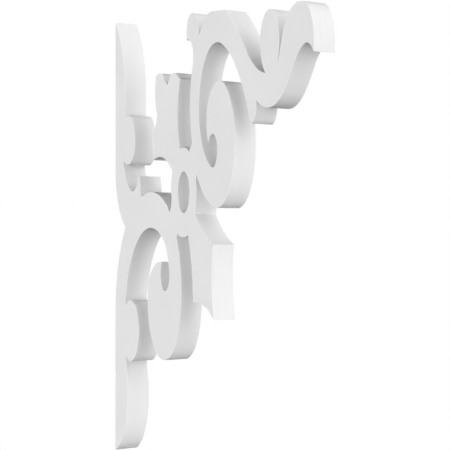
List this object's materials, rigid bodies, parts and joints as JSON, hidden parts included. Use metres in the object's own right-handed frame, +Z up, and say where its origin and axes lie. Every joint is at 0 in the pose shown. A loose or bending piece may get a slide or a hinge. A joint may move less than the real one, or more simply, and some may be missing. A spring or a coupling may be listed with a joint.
{
  "type": "pvc scroll bracket",
  "caption": "Flat scroll-sawn PVC gable bracket of spiral scrolls, leaves and lobes round a centre ring, fixed by its straight back edge in the corner under a soffit.",
  "frame": {"origin": "middle of the upper flat strip of the wall edge, halfway through the thickness", "axes": "+Z up the wall, +X away from the wall under the soffit, Y through the thickness of the board"},
  "size_m": [0.3563, 0.038, 0.566],
  "materials": {
    "white_pvc": "satin white cellular PVC, smooth moulded faces and routed edges"
  },
  "bodies": {
    "root": {"scroll_bracket": "white_pvc"}
  },
  "joints": []
}
